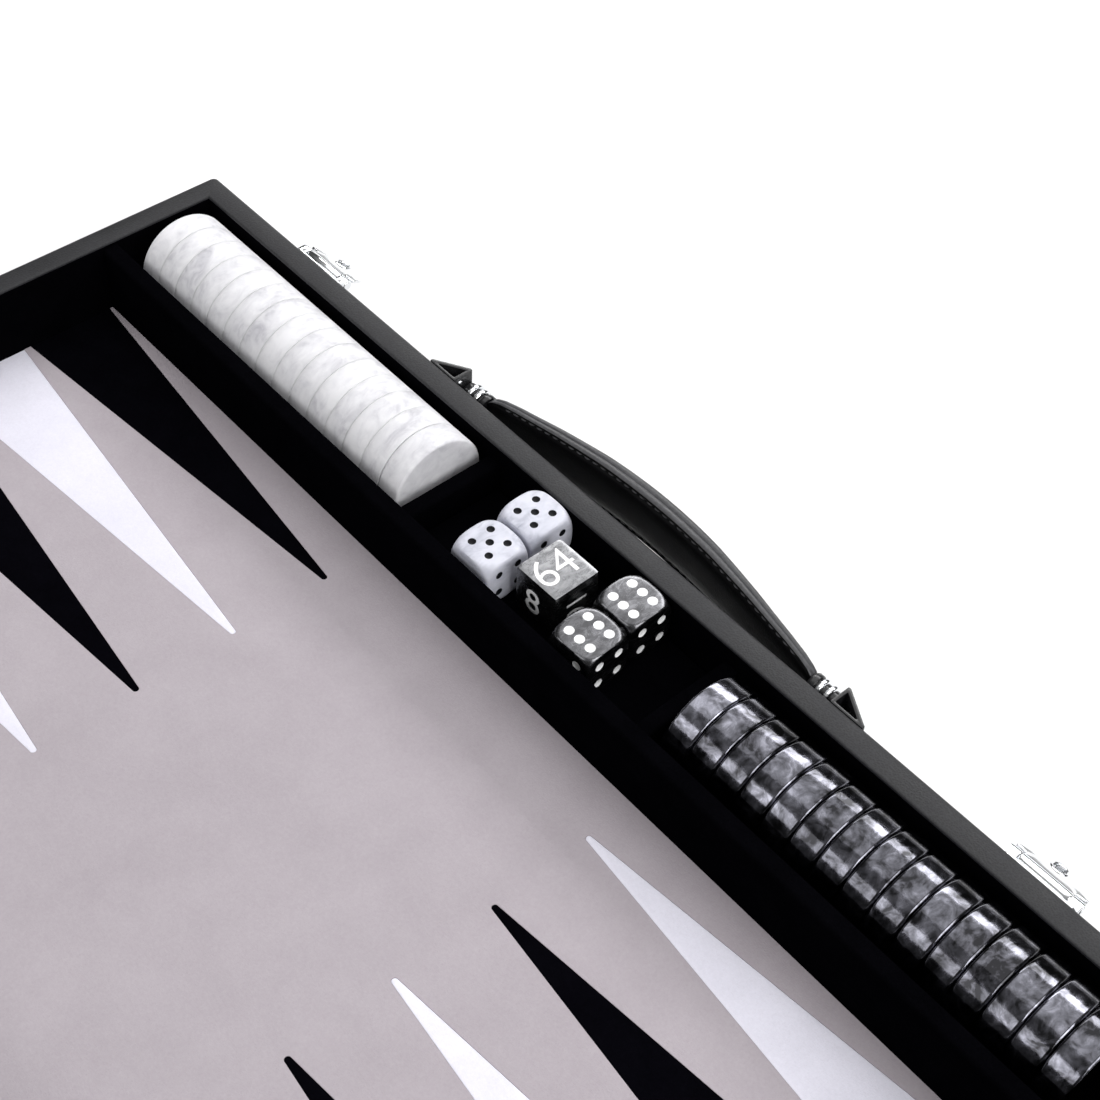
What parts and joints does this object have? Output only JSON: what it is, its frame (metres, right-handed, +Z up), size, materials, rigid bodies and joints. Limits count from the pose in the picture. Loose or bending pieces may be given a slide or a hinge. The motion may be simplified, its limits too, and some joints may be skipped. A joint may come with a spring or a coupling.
{
  "type": "backgammon set",
  "caption": "Backgammon set in a folding leatherette attache case with felt field, checker trough, pearl checkers, dice, doubling cube, cups, latches and handle.",
  "frame": {"origin": "centre of the underside of the half that carries the handle, with the case open flat", "axes": "+X along the handle side, +Y out towards the handle, +Z up out of the open halves"},
  "size_m": [0.46, 0.5822, 0.0565],
  "materials": {
    "wood": "raw board inside the covering",
    "leatherette": "fine grained, semi-matt black",
    "black_felt": "napped felt",
    "grey_felt": "napped felt, warm light grey",
    "dark_felt": "napped felt, black",
    "light_felt": "napped felt, white",
    "steel": "brushed nickel",
    "chrome": "polished",
    "bracket_black": "black lacquered strip",
    "pearl_light": "white marbled pearl, polished",
    "pearl_dark": "black marbled pearl, polished",
    "die_light": "white pearl, polished",
    "die_dark": "grey pearl, polished",
    "cube_grey": "grey pearl, polished"
  },
  "bodies": {
    "base": {"base_tray": "wood", "base_cover": "leatherette", "base_lining": "black_felt", "base_field": "grey_felt", "base_points_dark": "dark_felt", "base_points_light": "light_felt", "dice_pad": "black_felt", "hinge_leaf_base": "steel", "hinge_pin": "steel", "handle_brackets": "bracket_black", "latch_plates": "chrome"},
    "lid": {"lid_tray": "wood", "lid_cover": "leatherette", "lid_lining": "black_felt", "lid_field": "grey_felt", "lid_points_dark": "dark_felt", "lid_points_light": "light_felt", "hinge_leaf_lid": "steel", "latch_catches": "chrome"},
    "carry_handle": {"handle_strap": "leatherette", "handle_ends": "chrome"},
    "latch_left": {"latch_hasp_left": "chrome"},
    "latch_right": {"latch_hasp_right": "chrome"},
    "light_checker_01": {"light_checker_01": "pearl_light"},
    "light_checker_02": {"light_checker_02": "pearl_light"},
    "light_checker_03": {"light_checker_03": "pearl_light"},
    "light_checker_04": {"light_checker_04": "pearl_light"},
    "light_checker_05": {"light_checker_05": "pearl_light"},
    "light_checker_06": {"light_checker_06": "pearl_light"},
    "light_checker_07": {"light_checker_07": "pearl_light"},
    "light_checker_08": {"light_checker_08": "pearl_light"},
    "light_checker_09": {"light_checker_09": "pearl_light"},
    "light_checker_10": {"light_checker_10": "pearl_light"},
    "light_checker_11": {"light_checker_11": "pearl_light"},
    "light_checker_12": {"light_checker_12": "pearl_light"},
    "light_checker_13": {"light_checker_13": "pearl_light"},
    "light_checker_14": {"light_checker_14": "pearl_light"},
    "light_checker_15": {"light_checker_15": "pearl_light"},
    "dark_checker_01": {"dark_checker_01": "pearl_dark"},
    "dark_checker_02": {"dark_checker_02": "pearl_dark"},
    "dark_checker_03": {"dark_checker_03": "pearl_dark"},
    "dark_checker_04": {"dark_checker_04": "pearl_dark"},
    "dark_checker_05": {"dark_checker_05": "pearl_dark"},
    "dark_checker_06": {"dark_checker_06": "pearl_dark"},
    "dark_checker_07": {"dark_checker_07": "pearl_dark"},
    "dark_checker_08": {"dark_checker_08": "pearl_dark"},
    "dark_checker_09": {"dark_checker_09": "pearl_dark"},
    "dark_checker_10": {"dark_checker_10": "pearl_dark"},
    "dark_checker_11": {"dark_checker_11": "pearl_dark"},
    "dark_checker_12": {"dark_checker_12": "pearl_dark"},
    "dark_checker_13": {"dark_checker_13": "pearl_dark"},
    "dark_checker_14": {"dark_checker_14": "pearl_dark"},
    "dark_checker_15": {"dark_checker_15": "pearl_dark"},
    "light_die_1": {"light_die_1": "die_light"},
    "light_die_2": {"light_die_2": "die_light"},
    "dark_die_1": {"dark_die_1": "die_dark"},
    "dark_die_2": {"dark_die_2": "die_dark"},
    "doubling_cube": {"doubling_cube": "cube_grey"},
    "dice_cup_1": {"dice_cup_1": "leatherette"},
    "dice_cup_2": {"dice_cup_2": "leatherette"}
  },
  "joints": [
    {"name": "carry_handle_swing", "type": "hinge", "parent": "base", "child": "carry_handle", "pos_m": [0, 0.1458, 0.029], "axis": [1, 0, 0], "range_deg": [-25, 35]},
    {"name": "case_fold", "type": "hinge", "parent": "base", "child": "lid", "pos_m": [0, -0.1404, 0.0375], "axis": [1, 0, 0], "range_deg": [-180, 0]},
    {"name": "case_latch_left", "type": "hinge", "parent": "base", "child": "latch_left", "pos_m": [-0.166, 0.1436, 0.033], "axis": [-1, 0, 0], "range_deg": [-122, 0]},
    {"name": "case_latch_right", "type": "hinge", "parent": "base", "child": "latch_right", "pos_m": [0.166, 0.1436, 0.033], "axis": [-1, 0, 0], "range_deg": [-122, 0]},
    {"name": "light_checker_01_lift", "type": "slide", "parent": "base", "child": "light_checker_01", "axis": [0, 0, 1], "range_m": [0, 0.06]},
    {"name": "light_checker_02_lift", "type": "slide", "parent": "base", "child": "light_checker_02", "axis": [0, 0, 1], "range_m": [0, 0.06]},
    {"name": "light_checker_03_lift", "type": "slide", "parent": "base", "child": "light_checker_03", "axis": [0, 0, 1], "range_m": [0, 0.06]},
    {"name": "light_checker_04_lift", "type": "slide", "parent": "base", "child": "light_checker_04", "axis": [0, 0, 1], "range_m": [0, 0.06]},
    {"name": "light_checker_05_lift", "type": "slide", "parent": "base", "child": "light_checker_05", "axis": [0, 0, 1], "range_m": [0, 0.06]},
    {"name": "light_checker_06_lift", "type": "slide", "parent": "base", "child": "light_checker_06", "axis": [0, 0, 1], "range_m": [0, 0.06]},
    {"name": "light_checker_07_lift", "type": "slide", "parent": "base", "child": "light_checker_07", "axis": [0, 0, 1], "range_m": [0, 0.06]},
    {"name": "light_checker_08_lift", "type": "slide", "parent": "base", "child": "light_checker_08", "axis": [0, 0, 1], "range_m": [0, 0.06]},
    {"name": "light_checker_09_lift", "type": "slide", "parent": "base", "child": "light_checker_09", "axis": [0, 0, 1], "range_m": [0, 0.06]},
    {"name": "light_checker_10_lift", "type": "slide", "parent": "base", "child": "light_checker_10", "axis": [0, 0, 1], "range_m": [0, 0.06]},
    {"name": "light_checker_11_lift", "type": "slide", "parent": "base", "child": "light_checker_11", "axis": [0, 0, 1], "range_m": [0, 0.06]},
    {"name": "light_checker_12_lift", "type": "slide", "parent": "base", "child": "light_checker_12", "axis": [0, 0, 1], "range_m": [0, 0.06]},
    {"name": "light_checker_13_lift", "type": "slide", "parent": "base", "child": "light_checker_13", "axis": [0, 0, 1], "range_m": [0, 0.06]},
    {"name": "light_checker_14_lift", "type": "slide", "parent": "base", "child": "light_checker_14", "axis": [0, 0, 1], "range_m": [0, 0.06]},
    {"name": "light_checker_15_lift", "type": "slide", "parent": "base", "child": "light_checker_15", "axis": [0, 0, 1], "range_m": [0, 0.06]},
    {"name": "dark_checker_01_lift", "type": "slide", "parent": "base", "child": "dark_checker_01", "axis": [0, 0, 1], "range_m": [0, 0.06]},
    {"name": "dark_checker_02_lift", "type": "slide", "parent": "base", "child": "dark_checker_02", "axis": [0, 0, 1], "range_m": [0, 0.06]},
    {"name": "dark_checker_03_lift", "type": "slide", "parent": "base", "child": "dark_checker_03", "axis": [0, 0, 1], "range_m": [0, 0.06]},
    {"name": "dark_checker_04_lift", "type": "slide", "parent": "base", "child": "dark_checker_04", "axis": [0, 0, 1], "range_m": [0, 0.06]},
    {"name": "dark_checker_05_lift", "type": "slide", "parent": "base", "child": "dark_checker_05", "axis": [0, 0, 1], "range_m": [0, 0.06]},
    {"name": "dark_checker_06_lift", "type": "slide", "parent": "base", "child": "dark_checker_06", "axis": [0, 0, 1], "range_m": [0, 0.06]},
    {"name": "dark_checker_07_lift", "type": "slide", "parent": "base", "child": "dark_checker_07", "axis": [0, 0, 1], "range_m": [0, 0.06]},
    {"name": "dark_checker_08_lift", "type": "slide", "parent": "base", "child": "dark_checker_08", "axis": [0, 0, 1], "range_m": [0, 0.06]},
    {"name": "dark_checker_09_lift", "type": "slide", "parent": "base", "child": "dark_checker_09", "axis": [0, 0, 1], "range_m": [0, 0.06]},
    {"name": "dark_checker_10_lift", "type": "slide", "parent": "base", "child": "dark_checker_10", "axis": [0, 0, 1], "range_m": [0, 0.06]},
    {"name": "dark_checker_11_lift", "type": "slide", "parent": "base", "child": "dark_checker_11", "axis": [0, 0, 1], "range_m": [0, 0.06]},
    {"name": "dark_checker_12_lift", "type": "slide", "parent": "base", "child": "dark_checker_12", "axis": [0, 0, 1], "range_m": [0, 0.06]},
    {"name": "dark_checker_13_lift", "type": "slide", "parent": "base", "child": "dark_checker_13", "axis": [0, 0, 1], "range_m": [0, 0.06]},
    {"name": "dark_checker_14_lift", "type": "slide", "parent": "base", "child": "dark_checker_14", "axis": [0, 0, 1], "range_m": [0, 0.06]},
    {"name": "dark_checker_15_lift", "type": "slide", "parent": "base", "child": "dark_checker_15", "axis": [0, 0, 1], "range_m": [0, 0.06]},
    {"name": "light_die_1_lift", "type": "slide", "parent": "base", "child": "light_die_1", "axis": [0, 0, 1], "range_m": [0, 0.05]},
    {"name": "light_die_2_lift", "type": "slide", "parent": "base", "child": "light_die_2", "axis": [0, 0, 1], "range_m": [0, 0.05]},
    {"name": "dark_die_1_lift", "type": "slide", "parent": "base", "child": "dark_die_1", "axis": [0, 0, 1], "range_m": [0, 0.05]},
    {"name": "dark_die_2_lift", "type": "slide", "parent": "base", "child": "dark_die_2", "axis": [0, 0, 1], "range_m": [0, 0.05]},
    {"name": "doubling_cube_lift", "type": "slide", "parent": "base", "child": "doubling_cube", "axis": [0, 0, 1], "range_m": [0, 0.05]},
    {"name": "dice_cup_1_lift", "type": "slide", "parent": "lid", "child": "dice_cup_1", "axis": [0, 0, 1], "range_m": [0, 0.09]},
    {"name": "dice_cup_2_lift", "type": "slide", "parent": "lid", "child": "dice_cup_2", "axis": [0, 0, 1], "range_m": [0, 0.09]}
  ]
}
